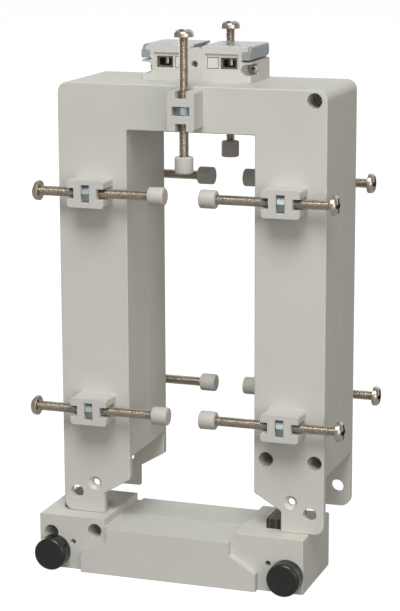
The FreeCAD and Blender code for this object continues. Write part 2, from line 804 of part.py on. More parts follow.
nuts = []
for name, rear, upright, x, z, length, stop in clamps:
    holder, nut, screw, end = clamp_pieces(rear, upright, x, z, length, stop)
    save(f"{name}_bracket", place_body(holder))
    save(f"{name}_screw", place_body(screw))
    save(f"{name}_cap", place_body(end))
    nuts.append(nut)
save("hex_nuts", place_body(Part.makeCompound(nuts)))


def place_terminal(shape, side):
    shape = moved(shape, bridge_width / 2)
    if side == "left":
        shape = mirrored(shape)
    return place_body(moved(shape, terminal_centre_x, 0, beam_height))


for side in ("left", "right"):
    save(f"{side}_terminal_block", place_terminal(terminal_block(), side))
    save(f"{side}_terminal_lid", place_terminal(terminal_lid(), side))
    save(f"{side}_cage_clamp", place_terminal(cage_clamp(), side))
    save(f"{side}_blanking_plug", place_terminal(blanking_plug(), side))
save("terminal_screws",
     Part.makeCompound([place_terminal(terminal_screw(), side) for side in ("left", "right")]))
save("fixing_screws", Part.makeCompound([place_terminal(fixing_screw(), side) for side in ("left", "right")]))
save("terminal_bridge", place_body(moved(bridge(), terminal_centre_x, 0, beam_height)))
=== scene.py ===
import bpy
import bmesh
import json
import math
from mathutils import Matrix, Vector


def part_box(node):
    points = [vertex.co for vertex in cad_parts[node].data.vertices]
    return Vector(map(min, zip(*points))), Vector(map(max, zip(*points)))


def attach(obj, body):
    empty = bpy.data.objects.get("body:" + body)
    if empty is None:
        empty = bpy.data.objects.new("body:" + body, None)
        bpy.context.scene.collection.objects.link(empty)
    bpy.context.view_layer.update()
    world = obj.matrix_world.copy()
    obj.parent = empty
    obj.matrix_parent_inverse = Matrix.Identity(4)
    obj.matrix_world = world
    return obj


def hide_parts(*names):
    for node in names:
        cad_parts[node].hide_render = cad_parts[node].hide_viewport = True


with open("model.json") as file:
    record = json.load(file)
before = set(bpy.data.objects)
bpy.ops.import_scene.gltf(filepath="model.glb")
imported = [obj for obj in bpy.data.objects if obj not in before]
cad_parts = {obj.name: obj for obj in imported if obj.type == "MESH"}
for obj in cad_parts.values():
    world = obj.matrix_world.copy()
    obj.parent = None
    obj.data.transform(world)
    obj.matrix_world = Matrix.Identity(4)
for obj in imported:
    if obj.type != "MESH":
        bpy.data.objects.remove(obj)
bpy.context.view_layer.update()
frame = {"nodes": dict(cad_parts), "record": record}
nodes = frame["nodes"]
print("frame loaded:", len(nodes), "nodes")

mm = 0.001
overcut = 1                   # mm that a cutter reaches past what it cuts
mergeDistance = 0.000001
cutTolerance = 0.0000001


def deselectAll():
    if bpy.context.object and bpy.context.object.mode != "OBJECT":
        bpy.ops.object.mode_set(mode="OBJECT")
    bpy.ops.object.select_all(action="DESELECT")


deselectAll()


# Camera, at the photograph's viewing angle

view = {
    "place": (0.4076, -1.1424, 0.4314),
    "yaw": 0.3344,      # turned to the left of straight ahead
    "pitch": 0.21587,   # looking down
    "roll": -0.00353,
    "focalPixels": 2047.17,
    "imageHeight": 611,
    "sensorHeight": 36,
    "farthest": 50,
}


def addCamera():
    camera = bpy.data.objects.new("camera", bpy.data.cameras.new("camera"))
    bpy.context.scene.collection.objects.link(camera)
    camera.data.sensor_fit = "VERTICAL"
    camera.data.sensor_height = view["sensorHeight"]
    camera.data.lens = view["sensorHeight"] * view["focalPixels"] / view["imageHeight"]
    camera.data.clip_end = view["farthest"]
    yaw, pitch, roll = view["yaw"], view["pitch"], view["roll"]
    forward = Vector((-math.sin(yaw) * math.cos(pitch), math.cos(yaw) * math.cos(pitch), -math.sin(pitch)))
    right = Vector((math.cos(yaw), math.sin(yaw), 0))
    up = right.cross(forward)
    tiltedRight = right * math.cos(roll) + up * math.sin(roll)
    tiltedUp = tiltedRight.cross(forward)
    turn = Matrix((tiltedRight, tiltedUp, -forward)).transposed()
    camera.matrix_world = Matrix.Translation(view["place"]) @ turn.to_4x4()
    bpy.context.scene.camera = camera


addCamera()
print("camera placed")


# Shader building

def addNode(tree, kind, values=None, **settings):
    node = tree.nodes.new(kind)
    for name, value in settings.items():
        setattr(node, name, value)
    for name, value in (values or {}).items():
        node.inputs[name].default_value = value
    return node


def join(tree, source, target):
    tree.links.new(source, target)


def newGroup(name, inputs, outputs):
    tree = bpy.data.node_groups.new(name, "ShaderNodeTree")
    for label, kind, value in inputs:
        socket = tree.interface.new_socket(name=label, in_out="INPUT", socket_type=kind)
        socket.default_value = value
    for label, kind in outputs:
        tree.interface.new_socket(name=label, in_out="OUTPUT", socket_type=kind)
    return tree, addNode(tree, "NodeGroupInput"), addNode(tree, "NodeGroupOutput")


def newMaterial(name):
    material = bpy.data.materials.new(name)
    material.use_nodes = True
    tree = material.node_tree
    return material, tree, tree.nodes["Principled BSDF"]


def useGroup(tree, group, values=None):
    return addNode(tree, "ShaderNodeGroup", values, node_tree=group)


def srgb(red, green, blue):
    def linear(value):
        value /= 255
        return value / 12.92 if value <= 0.04045 else ((value + 0.055) / 1.055) ** 2.4
    return linear(red), linear(green), linear(blue), 1


# Moulded plastic: spark-eroded grain, faint flow marks, and lighter edges that are a painted highlight,
# partly rubbed wear

mouldedWearAndSheen = {
    "edgeRadius": 0.0005,
    # the colour of the painted edge highlight
    "edgeHighlightColor": (0.9, 0.9, 0.88, 1),
    "flowShades": (0.965, 1.03),     # darkest and lightest
    "flowRoughness": 0.12,           # what strong flow marks add
}


def buildMouldedSurface():
    tree, source, result = newGroup("mouldedSurface", [
        ("Color", "NodeSocketColor", (0.5, 0.5, 0.5, 1)),
        ("Grain Size", "NodeSocketFloat", 1400),
        ("Grain Depth", "NodeSocketFloat", 0.5),
        ("Edge Light", "NodeSocketFloat", 0.12),
        ("Roughness", "NodeSocketFloat", 0.5),
    ], [("Color", "NodeSocketColor"), ("Roughness", "NodeSocketFloat"), ("Normal", "NodeSocketVector")])
    place = addNode(tree, "ShaderNodeTexCoord")
    grain = addNode(tree, "ShaderNodeTexNoise", {"Detail": 3.0, "Roughness": 0.6})
    flow = addNode(tree, "ShaderNodeTexNoise", {"Scale": 14.0, "Detail": 3.0, "Distortion": 0.6})
    for texture in (grain, flow):
        join(tree, place.outputs["Object"], texture.inputs["Vector"])
    join(tree, source.outputs["Grain Size"], grain.inputs["Scale"])
    rounded = addNode(tree, "ShaderNodeBevel", {"Radius": mouldedWearAndSheen["edgeRadius"]}, samples=6)
    bump = addNode(tree, "ShaderNodeBump", {"Distance": 0.00005})
    join(tree, source.outputs["Grain Depth"], bump.inputs["Strength"])
    join(tree, grain.outputs["Fac"], bump.inputs["Height"])
    join(tree, rounded.outputs["Normal"], bump.inputs["Normal"])
    shape = addNode(tree, "ShaderNodeNewGeometry")
    match = addNode(tree, "ShaderNodeVectorMath", operation="DOT_PRODUCT")
    join(tree, rounded.outputs["Normal"], match.inputs[0])
    join(tree, shape.outputs["Normal"], match.inputs[1])
    edge = addNode(tree, "ShaderNodeMapRange", {"From Min": 0.995, "From Max": 0.85})
    join(tree, match.outputs["Value"], edge.inputs["Value"])
    edgeShare = addNode(tree, "ShaderNodeMath", operation="MULTIPLY")
    join(tree, edge.outputs["Result"], edgeShare.inputs[0])
    join(tree, source.outputs["Edge Light"], edgeShare.inputs[1])
    darkest, lightest = mouldedWearAndSheen["flowShades"]
    shade = addNode(tree, "ShaderNodeMapRange", {
        "From Min": 0.3, "From Max": 0.7, "To Min": darkest, "To Max": lightest,
    })
    join(tree, flow.outputs["Fac"], shade.inputs["Value"])
    tinted = addNode(tree, "ShaderNodeVectorMath", operation="SCALE")
    join(tree, source.outputs["Color"], tinted.inputs[0])
    join(tree, shade.outputs["Result"], tinted.inputs["Scale"])
    # Painted highlight: the edges are mixed towards a light colour by the share Edge Light, partly as rubbed
    # wear
    lit = addNode(tree, "ShaderNodeMix", data_type="RGBA")
    lit.inputs["B"].default_value = mouldedWearAndSheen["edgeHighlightColor"]
    join(tree, edgeShare.outputs["Value"], lit.inputs["Factor"])
    join(tree, tinted.outputs["Vector"], lit.inputs["A"])
    gloss = addNode(tree, "ShaderNodeMath", operation="MULTIPLY_ADD")
    gloss.inputs[1].default_value = mouldedWearAndSheen["flowRoughness"]
    join(tree, flow.outputs["Fac"], gloss.inputs[0])
    join(tree, source.outputs["Roughness"], gloss.inputs[2])
    join(tree, lit.outputs["Result"], result.inputs["Color"])
    join(tree, gloss.outputs["Value"], result.inputs["Roughness"])
    join(tree, bump.outputs["Normal"], result.inputs["Normal"])
    return tree


mouldedSurface = buildMouldedSurface()


def mouldedMaterial(name, color, roughness=0.45, grainSize=1400, grainDepth=0.5, edgeLight=0.12):
    material, tree, shader = newMaterial(name)
    surface = useGroup(tree, mouldedSurface, {
        "Color": color, "Grain Size": grainSize, "Grain Depth": grainDepth, "Edge Light": edgeLight,
        "Roughness": roughness,
    })
    join(tree, surface.outputs["Color"], shader.inputs["Base Color"])
    join(tree, surface.outputs["Roughness"], shader.inputs["Roughness"])
    join(tree, surface.outputs["Normal"], shader.inputs["Normal"])
    return material


# Turned or plated metal: fine bumps, dull patches, softened edges, and a painted shade that darkens the cross
# recesses

metalWearAndShade = {
    "edgeRadius": 0.0003,
    "dullness": 0.4,
    "dullRoughness": 0.25,           # what full dullness adds
    # the colour of the painted shade in the cross recesses
    "recessShadeColor": srgb(58, 50, 42),
}


def buildMetalSurface():
    tree, source, result = newGroup("metalSurface", [
        ("Color", "NodeSocketColor", (0.5, 0.5, 0.5, 1)),
        ("Dull Color", "NodeSocketColor", (0.3, 0.3, 0.3, 1)),
        ("Dullness", "NodeSocketFloat", metalWearAndShade["dullness"]),
        ("Roughness", "NodeSocketFloat", 0.25),
        ("Recess", "NodeSocketFloat", 0),
    ], [("Color", "NodeSocketColor"), ("Roughness", "NodeSocketFloat"), ("Normal", "NodeSocketVector")])
    place = addNode(tree, "ShaderNodeTexCoord")
    patches = addNode(tree, "ShaderNodeTexNoise", {"Scale": 180.0, "Detail": 4.0, "Roughness": 0.65})
    fine = addNode(tree, "ShaderNodeTexNoise", {"Scale": 2600.0, "Detail": 2.0})
    for texture in (patches, fine):
        join(tree, place.outputs["Object"], texture.inputs["Vector"])
    mask = addNode(tree, "ShaderNodeMapRange", {"From Min": 0.4, "From Max": 0.7})
    join(tree, patches.outputs["Fac"], mask.inputs["Value"])
    share = addNode(tree, "ShaderNodeMath", operation="MULTIPLY")
    join(tree, mask.outputs["Result"], share.inputs[0])
    join(tree, source.outputs["Dullness"], share.inputs[1])
    color = addNode(tree, "ShaderNodeMix", data_type="RGBA")
    join(tree, share.outputs["Value"], color.inputs["Factor"])
    join(tree, source.outputs["Color"], color.inputs["A"])
    join(tree, source.outputs["Dull Color"], color.inputs["B"])
    # Painted shade: the faces marked as recess are mixed towards a dark colour
    recessShaded = addNode(tree, "ShaderNodeMix", data_type="RGBA")
    recessShaded.inputs["B"].default_value = metalWearAndShade["recessShadeColor"]
    join(tree, source.outputs["Recess"], recessShaded.inputs["Factor"])
    join(tree, color.outputs["Result"], recessShaded.inputs["A"])
    rough = addNode(tree, "ShaderNodeMath", operation="MULTIPLY_ADD")
    rough.inputs[1].default_value = metalWearAndShade["dullRoughness"]
    join(tree, share.outputs["Value"], rough.inputs[0])
    join(tree, source.outputs["Roughness"], rough.inputs[2])
    rounded = addNode(tree, "ShaderNodeBevel", {"Radius": metalWearAndShade["edgeRadius"]}, samples=4)
    bump = addNode(tree, "ShaderNodeBump", {"Strength": 0.25, "Distance": 0.00002})
    join(tree, fine.outputs["Fac"], bump.inputs["Height"])
    join(tree, rounded.outputs["Normal"], bump.inputs["Normal"])
    join(tree, recessShaded.outputs["Result"], result.inputs["Color"])
    join(tree, rough.outputs["Value"], result.inputs["Roughness"])
    join(tree, bump.outputs["Normal"], result.inputs["Normal"])
    return tree


metalSurface = buildMetalSurface()


def metalMaterial(name, color, dullColor, roughness=0.25):
    material, tree, shader = newMaterial(name)
    surface = useGroup(tree, metalSurface, {"Color": color, "Dull Color": dullColor, "Roughness": roughness})
    recess = addNode(tree, "ShaderNodeAttribute", attribute_name="recess")
    join(tree, recess.outputs["Fac"], surface.inputs["Recess"])
    shader.inputs["Metallic"].default_value = 1.0
    join(tree, surface.outputs["Color"], shader.inputs["Base Color"])
    join(tree, surface.outputs["Roughness"], shader.inputs["Roughness"])
    join(tree, surface.outputs["Normal"], shader.inputs["Normal"])
    return material


# Core: the edges of its stacked strips, fine dark and rusty brown lines

coreStrips = {
    "linesPerMetre": 1100,
    "rampPlaces": (0.35, 0.68),
    "rampColors": (srgb(30, 26, 24), srgb(104, 90, 79)),
    "metallic": 0.6,
    "roughness": 0.5,
}


def coreMaterial():
    material, tree, shader = newMaterial("coreStrips")
    place = addNode(tree, "ShaderNodeTexCoord")
    split = addNode(tree, "ShaderNodeSeparateXYZ")
    join(tree, place.outputs["Object"], split.inputs["Vector"])
    scaled = addNode(tree, "ShaderNodeMath", operation="MULTIPLY")
    scaled.inputs[1].default_value = coreStrips["linesPerMetre"]
    join(tree, split.outputs["X"], scaled.inputs[0])
    stripes = addNode(tree, "ShaderNodeTexNoise", {"Scale": 1.0, "Detail": 2.0}, noise_dimensions="1D")
    join(tree, scaled.outputs["Value"], stripes.inputs["W"])
    ramp = addNode(tree, "ShaderNodeValToRGB")
    for step in (0, 1):
        ramp.color_ramp.elements[step].position = coreStrips["rampPlaces"][step]
        ramp.color_ramp.elements[step].color = coreStrips["rampColors"][step]
    join(tree, stripes.outputs["Fac"], ramp.inputs["Fac"])
    bump = addNode(tree, "ShaderNodeBump", {"Strength": 0.6, "Distance": 0.0001})
    join(tree, stripes.outputs["Fac"], bump.inputs["Height"])
    join(tree, ramp.outputs["Color"], shader.inputs["Base Color"])
    join(tree, bump.outputs["Normal"], shader.inputs["Normal"])
    shader.inputs["Metallic"].default_value = coreStrips["metallic"]
    shader.inputs["Roughness"].default_value = coreStrips["roughness"]
    return material


def lidMaterial():
    # Smoke-grey clear moulding, hazy inside
    material = mouldedMaterial("clearLid", srgb(180, 190, 191), roughness=0.16, grainSize=900, grainDepth=0.1,
                               edgeLight=0.25)
    shader = material.node_tree.nodes["Principled BSDF"]
    shader.inputs["Transmission Weight"].default_value = 0.4
    shader.inputs["IOR"].default_value = 1.49
    return material


finishes = {
    "housing": mouldedMaterial("housingGrey", srgb(202, 202, 193)),
    "bracket": mouldedMaterial("bracketGrey", srgb(201, 200, 193)),
    "cap": mouldedMaterial("capGrey", srgb(193, 190, 183), roughness=0.5),
    "terminal": mouldedMaterial("terminalGrey", srgb(206, 206, 199)),
    "plug": mouldedMaterial("plugGrey", srgb(214, 213, 207)),
    "lid": lidMaterial(),
    "knob": mouldedMaterial("knobBlack", srgb(30, 30, 27), roughness=0.22, grainDepth=0.15, edgeLight=0.03),
    "clamp_screw": metalMaterial("nickelScrew", srgb(198, 189, 175), srgb(140, 130, 117), roughness=0.26),
    "nut": metalMaterial("zincNut", srgb(160, 172, 172), srgb(120, 134, 134), roughness=0.5),
    "fastener": metalMaterial("zincScrew", srgb(205, 202, 196), srgb(150, 145, 136), roughness=0.32),
    "insert": metalMaterial("brassInsert", srgb(214, 184, 112), srgb(150, 120, 70)),
    "contact": metalMaterial("cageSteel", srgb(150, 140, 125), srgb(90, 80, 70), roughness=0.35),
    "core": coreMaterial(),
    "bobbin": mouldedMaterial("bobbinBlack", srgb(45, 45, 45), edgeLight=0.03),
    "winding": mouldedMaterial("windingCopper", srgb(176, 106, 60), roughness=0.3),
}


def dressFrame():
    for part in frame["record"]["subparts"]:
        node = nodes[part["node"]]
        node.data.materials.clear()
        node.data.materials.append(finishes[part["material_slot"]])


dressFrame()
print("materials placed")


# Modelling by hand: a primitive, shaped in edit mode and finished with modifiers

def makeActive(piece):
    deselectAll()
    piece.select_set(True)
    bpy.context.view_layer.objects.active = piece


def startEdit(piece, kind="FACE"):
    makeActive(piece)
    bpy.ops.object.mode_set(mode="EDIT")
    bpy.ops.mesh.select_mode(type=kind)
    bpy.ops.mesh.select_all(action="DESELECT")


def endEdit():
    bpy.ops.object.mode_set(mode="OBJECT")


def pickFaces(piece, wanted):
    mesh = bmesh.from_edit_mesh(piece.data)
    for face in mesh.faces:
        face.select_set(wanted(face))
    mesh.select_flush_mode()
    bmesh.update_edit_mesh(piece.data)


def pickEnd(piece, axis, sign):
    pickFaces(piece, lambda face: face.normal[axis] * sign > 0.99)


def applyModifier(piece, kind, **settings):
    modifier = piece.modifiers.new("step", kind)
    for name, value in settings.items():
        setattr(modifier, name, value)
    makeActive(piece)
    bpy.ops.object.modifier_apply(modifier=modifier.name)


def removePiece(piece):
    bpy.data.objects.remove(piece)


def cutWith(piece, cutter, operation="DIFFERENCE"):
    applyModifier(piece, "BOOLEAN", operation=operation, object=cutter, solver="EXACT")
    removePiece(cutter)


def addRound(radius, start, end, sides=48):
    # A cylinder along X, its place already in the mesh
    bpy.ops.mesh.primitive_cylinder_add(
        vertices=sides, radius=radius * mm, depth=abs(end - start) * mm,
        location=((start + end) / 2 * mm, 0, 0), rotation=(0, math.pi / 2, 0))
    piece = bpy.context.object
    bpy.ops.object.transform_apply(location=True, rotation=True, scale=True)
    return piece


def insetEnd(piece, sign, steps):
    # Each step narrows the end face and raises it
    startEdit(piece)
    pickEnd(piece, 0, sign)
    for thickness, depth in steps:
        bpy.ops.mesh.inset(thickness=thickness * mm, depth=depth * mm)
    endEdit()


def ringSteps(rings):
    return [(before[1] - after[1], after[0] - before[0]) for before, after in zip(rings, rings[1:])]


def joinPieces(pieces):
    deselectAll()
    for piece in pieces:
        piece.select_set(True)
    bpy.context.view_layer.objects.active = pieces[0]
    bpy.ops.object.join()
    return bpy.context.object


def tidyMesh(piece, smoothAngle=32):
    startEdit(piece, "VERT")
    bpy.ops.mesh.select_all(action="SELECT")
    bpy.ops.mesh.remove_doubles(threshold=mergeDistance)
    bpy.ops.mesh.normals_make_consistent(inside=False)
    endEdit()
    bpy.ops.object.shade_smooth_by_angle(angle=math.radians(smoothAngle))


def copyPiece(piece, name, place, turn):
    makeActive(piece)
    bpy.ops.object.duplicate()
    copy = bpy.context.object
    copy.name = name
    copy.rotation_euler = turn
    copy.location = place
    bpy.ops.object.transform_apply(location=True, rotation=True, scale=True)
    return copy


def placePiece(piece, slot, body, *replaced):
    piece.data.materials.clear()
    piece.data.materials.append(finishes[slot])
    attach(piece, body)
    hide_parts(*replaced)


def cornersOf(node):
    low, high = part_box(node)
    return Vector(low), Vector(high)


# Screws, along X with the head's seat at the origin and the head towards -X

clampScrew = {
    "headRings": [(1.9, 6.0), (2.62, 5.86), (3.2, 5.5), (3.66, 4.92), (3.96, 4.15), (4.12, 3.2), (4.2, 2.2)],
    "seatEdge": 0.25,
    "recessSpan": 10.4,
    "recessWidth": 2.6,
    "recessDepth": 3.3,
    "radius": 2.95,
    "rootRadius": 2.38,
    "pitch": 1.0,
    "turnSteps": 18,
    "lengths": (75, 80),
}
caseScrew = {
    "headRings": [(1.2, 3.4), (1.45, 3.26), (1.69, 3.09), (1.9, 2.9), (2.09, 2.69), (2.26, 2.45), (2.4, 2.2)],
    "seatEdge": 0.15,
    "recessSpan": 4.0,
    "recessWidth": 0.9,
    "recessDepth": 1.3,
    "radius": 1.75,
    "rootRadius": 1.25,
    "pitch": 1.3,
    "turnSteps": 14,
    "length": 37.4,
}
fixingScrew = {
    "headRings": [(1.2, 3.0), (1.45, 2.88), (1.7, 2.7), (1.92, 2.5), (2.1, 2.3), (2.28, 2.05), (2.4, 1.8)],
    "seatEdge": 0.15,
    "recessSpan": 3.6,
    "recessWidth": 0.8,
    "recessDepth": 1.3,
    "radius": 1.5,
    "rootRadius": 1.1,
    "pitch": 1.2,
    "turnSteps": 14,
    "length": 12.0,
}
recessTaper = {"span": 0.6, "width": 0.85}     # shares of the mouth that are left at the bottom
threadShape = {
    "profile": ((0.32, 1), (0.14, 0), (0.32, -1), (0.22, 0)),     # share of the pitch, and out or in
    "leadIn": 1.025,     # pitches before the start, which keeps the cuts off the profile's own points
}


def addThread(screw, start, end):
    # A V profile drawn from one point, wound by the Screw modifier and cut square at both ends
    pitch, root, crest = screw["pitch"], screw["rootRadius"], screw["radius"]
    bpy.ops.mesh.primitive_plane_add(size=mm, location=(0, 0, 0))
    rod = bpy.context.object
    startEdit(rod, "VERT")
    bpy.ops.mesh.select_all(action="SELECT")
    bpy.ops.mesh.merge(type="CENTER")
    leadIn = threadShape["leadIn"] * pitch
    bpy.ops.transform.translate(value=((start - leadIn) * mm, root * mm, 0))
    for along, way in threadShape["profile"]:
        step = (along * pitch * mm, way * (crest - root) * mm, 0)
        bpy.ops.mesh.extrude_vertices_move(TRANSFORM_OT_translate={"value": step})
    endEdit()
    applyModifier(rod, "SCREW", axis="X", screw_offset=pitch * mm, steps=screw["turnSteps"],
                  render_steps=screw["turnSteps"], iterations=math.ceil((end - start) / pitch) + 2,
                  use_merge_vertices=True, merge_threshold=mergeDistance)
    startEdit(rod, "VERT")
    for place, inner in ((start, True), (end, False)):
        bpy.ops.mesh.select_all(action="SELECT")
        bpy.ops.mesh.bisect(plane_co=(place * mm, 0, 0), plane_no=(1, 0, 0), use_fill=True,
                            threshold=cutTolerance, clear_inner=inner, clear_outer=not inner)
    endEdit()
    return rod


def markFaces(piece, value):
    # 1 on the faces of a cross recess, which get a painted shade, 0 elsewhere
    marks = piece.data.attributes.new("recess", "FLOAT", "FACE")
    for mark in marks.data:
        mark.value = value


def addBar(start, end, span, width, turn):
    bpy.ops.mesh.primitive_cube_add(size=mm, location=((start + end) / 2 * mm, 0, 0),
                                    scale=(end - start, span, width))
    bar = bpy.context.object
    bpy.ops.object.transform_apply(location=True, rotation=True, scale=True)
    startEdit(bar)
    pickEnd(bar, 0, 1)
    bpy.ops.transform.resize(value=(1, recessTaper["span"], recessTaper["width"]),
                             center_override=(end * mm, 0, 0))
    endEdit()
    bar.rotation_euler = (math.radians(turn), 0, 0)
    makeActive(bar)
    bpy.ops.object.transform_apply(location=True, rotation=True, scale=True)
    markFaces(bar, 1)
    return bar


def addPanHead(screw):
    rings = screw["headRings"]
    edge = screw["seatEdge"]
    head = addRound(rings[0][1], -rings[0][0], -edge)
    insetEnd(head, 1, [(edge, edge)])
    insetEnd(head, -1, ringSteps(rings))
    markFaces(head, 0)
    top = rings[-1][0]
    for turn in (0, 90):
        cutWith(head, addBar(-top - overcut, -top + screw["recessDepth"], screw["recessSpan"],
                             screw["recessWidth"], turn))
    return head


def addPanScrew(name, screw, length):
    piece = joinPieces([addPanHead(screw), addThread(screw, 0, length)])
    piece.name = name
    tidyMesh(piece)
    return piece


clampNames = ["front_upper_left", "front_upper_right", "front_lower_left", "front_lower_right", "front_beam",
              "rear_upper_left", "rear_upper_right", "rear_lower_left", "rear_lower_right", "rear_beam"]


def clampPlace(node, offset):
    # The point that lies offset from the node's outer end, and the turn that brings +X inwards
    low, high = cornersOf(node)
    middle = (low + high) / 2
    if "beam" in node:
        return Vector((middle.x, middle.y, high.z - offset)), (0, math.pi / 2, 0)
    if "left" in node:
        return Vector((low.x + offset, middle.y, middle.z)), (0, 0, 0)
    return Vector((high.x - offset, middle.y, middle.z)), (0, 0, math.pi)


def addClampScrews():
    headHeight = clampScrew["headRings"][-1][0]
    models = {length: addPanScrew(f"clampScrew{length}", clampScrew, length)
              for length in clampScrew["lengths"]}
    for name in clampNames:
        node = f"{name}_screw"
        low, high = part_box(node)
        length = round(max(high[0] - low[0], high[2] - low[2]) / mm - headHeight)
        place, turn = clampPlace(node, headHeight * mm)
        piece = copyPiece(models[length], f"{name}_threadedScrew", place, turn)
        placePiece(piece, "clamp_screw", f"{name}_clamp", node)
    for model in models.values():
        removePiece(model)


addClampScrews()
print("clamp screws placed")


# Caps on the clamp screws' tips, open towards the screw

tipCap = {
    "radius": 5.5,
    "length": 10.0,
    "edgeSteps": [(0.08, 0.38), (0.21, 0.32), (0.32, 0.21), (0.39, 0.09)],
    "dimpleRadius": 1.1,
    "dimpleSlope": 0.25,
    "dimpleDepth": 0.25,
    "boreRadius": 2.95,
    "boreDepth": 6.0,
}


def addTipCaps():
    radius, length = tipCap["radius"], tipCap["length"]
    narrowing = sum(step[0] for step in tipCap["edgeSteps"])
    edgeHeight = sum(step[1] for step in tipCap["edgeSteps"])
    model = addRound(radius, edgeHeight, length - edgeHeight)
    insetEnd(model, -1, tipCap["edgeSteps"])
    toDimple = radius - narrowing - tipCap["dimpleRadius"]
    dimple = (tipCap["dimpleSlope"], -tipCap["dimpleDepth"])
    insetEnd(model, 1, tipCap["edgeSteps"] + [(toDimple, 0), dimple])
    cutWith(model, addRound(tipCap["boreRadius"], -overcut, tipCap["boreDepth"]))
    tidyMesh(model)
    for name in clampNames:
        place, turn = clampPlace(f"{name}_cap", 0)
        piece = copyPiece(model, f"{name}_softCap", place, turn)
        placePiece(piece, "cap", f"{name}_clamp", f"{name}_cap")
    removePiece(model)


addTipCaps()
print("caps placed")


# Hexagonal nuts in the brackets' slots

hexNut = {
    "acrossFlats": 10.0,
    "thickness": 5.0,
    "chamfer": 0.45,
    "chamferWidth": 0.9,
    "cornerClearance": 0.03,     # keeps the corners sharp between the chamfers
    "boreRadius": 3.0,
    "smoothAngle": 20,
}


def addHexNuts():
    corner = hexNut["acrossFlats"] / math.sqrt(3)
    half, chamfer = hexNut["thickness"] / 2, hexNut["chamfer"]
    model = addRound(corner, -half, half, sides=6)
    turned = addRound(corner + hexNut["cornerClearance"], -half + chamfer, half - chamfer)
    for sign in (-1, 1):
        insetEnd(turned, sign, [(hexNut["chamferWidth"], chamfer)])
    cutWith(model, turned, "INTERSECT")
    cutWith(model, addRound(hexNut["boreRadius"], -half - overcut, half + overcut))
    tidyMesh(model, hexNut["smoothAngle"])
    copies = []
    for name in clampNames:
        bracket = sum(cornersOf(f"{name}_bracket"), Vector()) / 2
        screw = sum(cornersOf(f"{name}_screw"), Vector()) / 2
        place = (bracket.x, screw.y, bracket.z)
        turn = (0, math.pi / 2, 0) if "beam" in name else (0, 0, 0)
        copies.append(copyPiece(model, f"{name}_nut", place, turn))
    removePiece(model)
    nuts = joinPieces(copies)
    nuts.name = "hexNuts"
    placePiece(nuts, "nut", "transformer", "hex_nuts")


addHexNuts()
print("nuts placed")


# Screws of the housing, the yoke and the terminal unit

bodyPlace = (10.5, 16.0)     # middle of the window across and deep
caseScrewPlaces = {
    "housing_screws": {
        "seat": 14.2,          # from the meeting plane of the halves
        "across": bodyPlace,
        "front": [(75.9, 294.5), (47.4, 78.6), (77.6, 78.6)],
    },
    "yoke_screws": {
        "seat": 14.2,
        "across": (0.0, 0.0),
        "front": [(-77.5, 22.3), (-48.7, 25.9)],
    },
}


def placeScrews(model, places, node):
    # Each place comes with 1 where the head faces the front and -1 where it faces the rear
    copies = [copyPiece(model, "copy", place, (0, 0, side * math.pi / 2)) for place, side in places]
    group = joinPieces(copies)
    group.name = node + "_threaded"
    placePiece(group, "fastener", "transformer", node)


def addCaseScrews():
    model = addPanScrew("caseScrew", caseScrew, caseScrew["length"])
    for node, row in caseScrewPlaces.items():
        middle, depth = row["across"]
        places = [(((middle + side * x) * mm, (depth - side * row["seat"]) * mm, z * mm), side)
                  for side in (1, -1) for x, z in row["front"]]
        placeScrews(model, places, node)
    removePiece(model)


addCaseScrews()


def addFixingScrews():
    low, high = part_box("fixing_screws")
    headRadius = fixingScrew["headRings"][0][1] * mm
    headHeight = fixingScrew["headRings"][-1][0] * mm
    model = addPanScrew("fixingScrew", fixingScrew, fixingScrew["length"])
    places = [((x, low[1] + headHeight, (low[2] + high[2]) / 2), 1)
              for x in (low[0] + headRadius, high[0] - headRadius)]
    placeScrews(model, places, "fixing_screws")
    removePiece(model)


addFixingScrews()
print("housing screws placed")


# Thumbscrews: a turned black knob on a threaded stud

knobShape = {
    "radius": 10.2,
    "flange": 2.2,
    "flangeBevel": 0.3,
    "flangeRing": 0.3,
    "waistRadius": 9.3,
    "waist": 1.0,
    "body": 7.2,
    "rimSteps": [(0.06, 0.45), (0.2, 0.44), (0.33, 0.37), (0.4, 0.29), (0.44, 0.18), (0.42, 0.07)],
    "dishInset": 0.6,
    "dishSlope": 0.5,
    "dishDepth": 0.2,
    "boreRadius": 2.95,
    "boreDepth": 7.0,
    "smoothAngle": 25,
}
studShape = {
    "radius": 2.95,
    "rootRadius": 2.38,
    "pitch": 1.0,
    "turnSteps": 18,
    "length": 19.0,
    "tipInset": 0.45,
}


